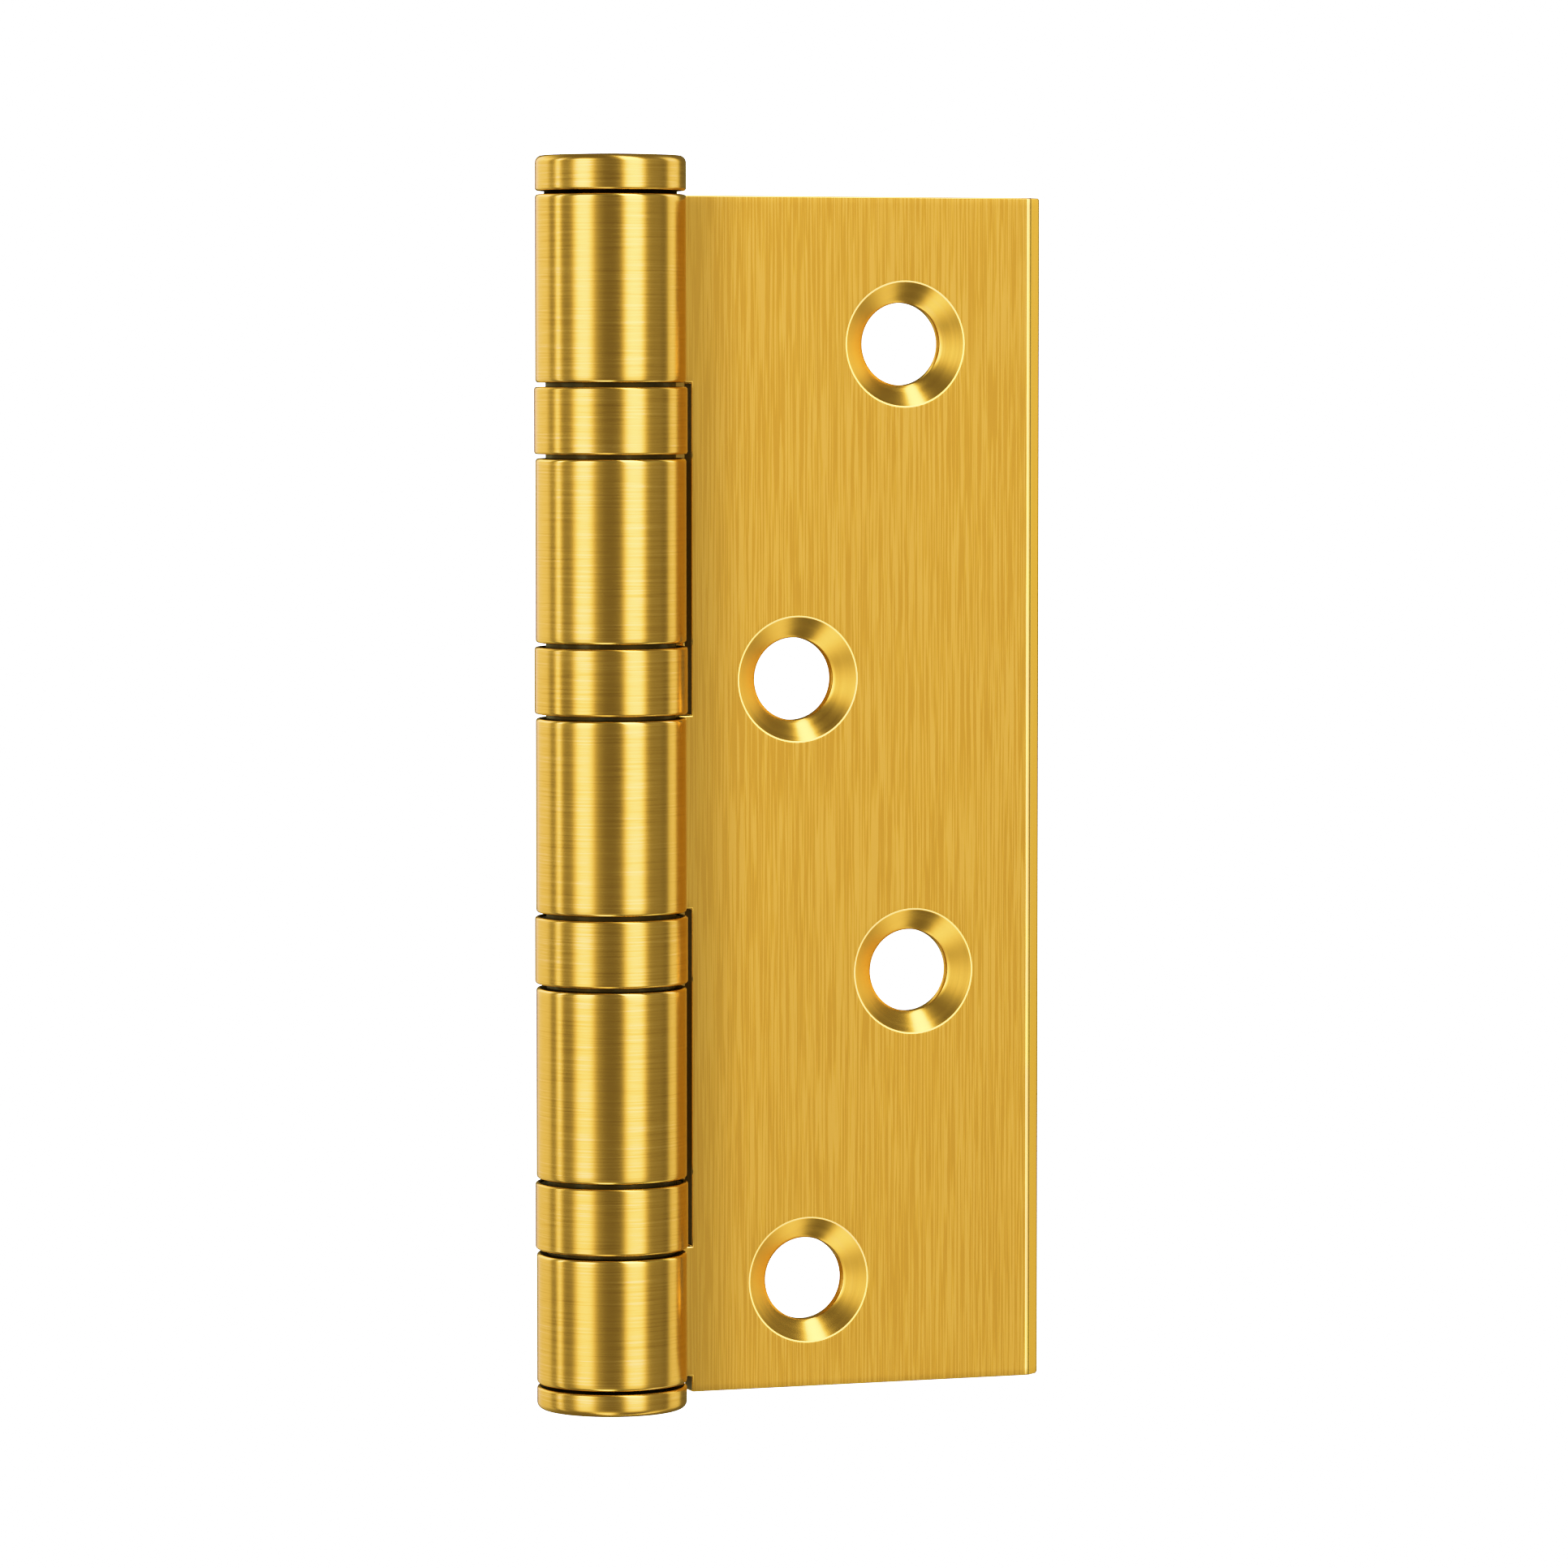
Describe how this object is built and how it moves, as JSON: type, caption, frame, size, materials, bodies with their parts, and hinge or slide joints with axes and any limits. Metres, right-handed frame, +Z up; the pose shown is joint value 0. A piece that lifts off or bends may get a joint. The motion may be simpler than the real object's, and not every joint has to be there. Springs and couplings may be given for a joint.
{
  "type": "ball-bearing butt hinge",
  "caption": "Gold-finished steel butt hinge with curled sheet leaves, staggered countersunk holes, a fixed pin, button tips and ball thrust bearings between its knuckles.",
  "frame": {"origin": "middle of the fixed leaf's back face, the face that lies on the door frame", "axes": "+Z up along the pin; +Y out of the fixed leaf's back face, into the door frame; +X from the barrel towards the fixed leaf's free edge"},
  "size_m": [0.0453, 0.0396, 0.1042],
  "materials": {
    "leaf_gold": "stainless sheet, gold-coloured vapour-deposited coat, fine brushing along the leaf's height and round the knuckles",
    "ring_gold": "turned stainless sleeve, gold-coloured coat, brushed round its girth",
    "tip_gold": "turned stainless, gold-coloured coat, brushed round its girth",
    "pin_steel": "ground stainless bar",
    "race_steel": "hardened and turned bearing steel, lightly greased",
    "ball_steel": "polished bearing steel",
    "cage_brass": "pressed sheet brass"
  },
  "bodies": {
    "frame_side": {"fixed_leaf": "leaf_gold", "hinge_pin": "pin_steel", "top_tip": "tip_gold", "bottom_tip": "tip_gold", "bearing_1_upper_race": "race_steel", "bearing_2_lower_race": "race_steel", "bearing_2_shell": "ring_gold", "bearing_3_upper_race": "race_steel", "bearing_4_lower_race": "race_steel", "bearing_4_shell": "ring_gold"},
    "door_side": {"swing_leaf": "leaf_gold", "bearing_1_lower_race": "race_steel", "bearing_1_shell": "ring_gold", "bearing_2_upper_race": "race_steel", "bearing_3_lower_race": "race_steel", "bearing_3_shell": "ring_gold", "bearing_4_upper_race": "race_steel"},
    "ball_set_1": {"bearing_1_balls": "ball_steel", "bearing_1_cage": "cage_brass"},
    "ball_set_2": {"bearing_2_balls": "ball_steel", "bearing_2_cage": "cage_brass"},
    "ball_set_3": {"bearing_3_balls": "ball_steel", "bearing_3_cage": "cage_brass"},
    "ball_set_4": {"bearing_4_balls": "ball_steel", "bearing_4_cage": "cage_brass"}
  },
  "joints": [
    {"name": "leaf_swing", "type": "hinge", "parent": "frame_side", "child": "door_side", "pos_m": [-0.02315, -0.003, 0], "axis": [0, 0, 1], "range_deg": [-16, 298]},
    {"name": "ball_set_1_roll", "type": "hinge", "parent": "frame_side", "child": "ball_set_1", "pos_m": [-0.02315, -0.003, 0.03136], "axis": [0, 0, 1], "range_deg": [-8, 149]},
    {"name": "ball_set_2_roll", "type": "hinge", "parent": "frame_side", "child": "ball_set_2", "pos_m": [-0.02315, -0.003, 0.00987], "axis": [0, 0, 1], "range_deg": [-8, 149]},
    {"name": "ball_set_3_roll", "type": "hinge", "parent": "frame_side", "child": "ball_set_3", "pos_m": [-0.02315, -0.003, -0.0125], "axis": [0, 0, 1], "range_deg": [-8, 149]},
    {"name": "ball_set_4_roll", "type": "hinge", "parent": "frame_side", "child": "ball_set_4", "pos_m": [-0.02315, -0.003, -0.03463], "axis": [0, 0, 1], "range_deg": [-8, 149]}
  ],
  "couplings": [
    {"joint": "ball_set_1_roll", "follows": "leaf_swing", "ratio": 0.5},
    {"joint": "ball_set_2_roll", "follows": "leaf_swing", "ratio": 0.5},
    {"joint": "ball_set_3_roll", "follows": "leaf_swing", "ratio": 0.5},
    {"joint": "ball_set_4_roll", "follows": "leaf_swing", "ratio": 0.5}
  ]
}
